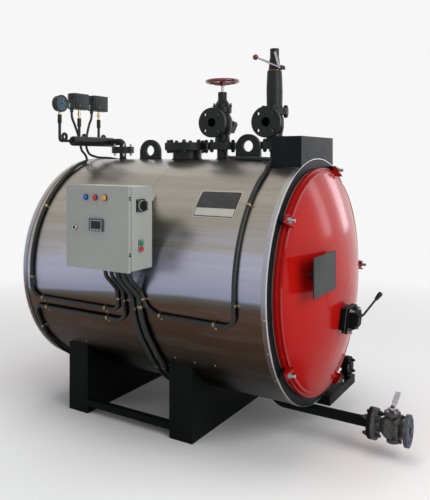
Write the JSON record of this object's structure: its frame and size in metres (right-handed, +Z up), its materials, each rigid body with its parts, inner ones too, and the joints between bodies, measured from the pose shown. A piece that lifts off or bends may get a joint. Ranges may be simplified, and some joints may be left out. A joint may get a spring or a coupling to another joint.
{
  "type": "industrial steam boiler",
  "caption": "Horizontal dry-back fire-tube steam boiler in a polished cylindrical jacket on box saddles, with dished rear door, flue box, valves, gauge stand, control panel and blowdown line.",
  "frame": {"origin": "on the floor under the boiler's axis, at the middle of the rear saddle's underside, 544.5 mm in front of the rear plate's outer face", "axes": "+X along the boiler's axis towards the rear door, +Y away from the control panel side, +Z up"},
  "size_m": [2.048, 1.4833, 2.0083],
  "materials": {
    "polished_cladding": "polished",
    "slate_paint": "satin",
    "black_paint": "satin",
    "red_paint": "gloss",
    "gasket": "matte",
    "steel": "machined",
    "chrome": "polished",
    "cast_grey": "cast",
    "wheel_red": "gloss",
    "black_plastic": "matte",
    "switch_grey": "satin",
    "brass": "polished",
    "panel_grey": "textured",
    "lamp_lens": "gloss",
    "cover_cream": "satin",
    "display": "gloss",
    "conduit": "satin"
  },
  "bodies": {
    "boiler": {"shell": "polished_cladding", "rear_plate": "slate_paint", "front_plate": "slate_paint", "trim_bands": "polished_cladding", "flue_box": "slate_paint", "clamp_studs": "steel", "rear_door": "red_paint", "front_door": "red_paint", "door_gaskets": "gasket", "door_plate": "slate_paint", "hatch_frame": "black_paint", "hatch_cover": "black_paint", "lifting_eyes": "black_paint", "handhole_neck": "black_paint", "handhole_cover": "black_paint", "crown_nozzles": "black_paint", "stop_valve_body": "black_paint", "stop_valve_bonnet": "black_paint", "safety_valve_body": "black_paint", "safety_valve_housing": "black_paint", "safety_valve_collar": "wheel_red", "safety_valve_cap": "black_paint", "level_probe": "black_paint", "level_probe_head": "black_plastic", "gauge_manifold": "black_paint", "siphons": "black_paint", "pressure_gauge": "black_plastic", "pressure_switches": "switch_grey", "switch_covers": "cover_cream", "gauge_fittings": "brass", "panel_box": "panel_grey", "panel_brackets": "panel_grey", "isolator_plate": "black_plastic", "push_buttons": "black_plastic", "conduits": "conduit", "switch_cables": "conduit", "saddles": "black_paint", "tie_bars": "black_paint", "blowdown_pipe": "black_paint", "ball_valve": "cast_grey", "feed_bearer": "black_paint", "feed_pipe": "black_paint"},
    "handwheel": {"stop_handwheel": "wheel_red", "stop_stem": "steel"},
    "test_lever": {"safety_lever": "chrome", "safety_lever_ball": "wheel_red"},
    "blowdown_lever": {"ball_valve_lever": "chrome"},
    "panel_door": {"panel_door": "panel_grey", "panel_lamps": "lamp_lens", "controller": "display", "panel_lock": "black_plastic"},
    "isolator_knob": {"isolator_knob": "black_plastic"},
    "hatch_handle": {"hatch_handle": "steel", "hatch_knob": "black_plastic"}
  },
  "joints": [
    {"name": "handwheel_turn", "type": "hinge", "parent": "boiler", "child": "handwheel", "pos_m": [-0.0155, 0, 1.854], "axis": [0, 0, 1], "continuous": true},
    {"name": "test_lever_lift", "type": "hinge", "parent": "boiler", "child": "test_lever", "pos_m": [0.3445, 0, 1.9023], "axis": [0, 1, 0], "range_deg": [0, 14]},
    {"name": "blowdown_lever_turn", "type": "hinge", "parent": "boiler", "child": "blowdown_lever", "pos_m": [0.9265, -0.04, 0.23], "axis": [0, 0, 1], "range_deg": [-90, 0]},
    {"name": "panel_door_hinge", "type": "hinge", "parent": "boiler", "child": "panel_door", "pos_m": [-0.0595, -0.817, 1.091], "axis": [0, 0, 1], "range_deg": [0, 95]},
    {"name": "isolator_turn", "type": "hinge", "parent": "boiler", "child": "isolator_knob", "pos_m": [-0.0405, -0.729, 1.198], "axis": [1, 0, 0], "range_deg": [0, 90]},
    {"name": "hatch_handle_turn", "type": "hinge", "parent": "boiler", "child": "hatch_handle", "pos_m": [0.75471, -0.024, 0.64695], "axis": [0.9931, 0, -0.1176], "range_deg": [0, 90]}
  ]
}
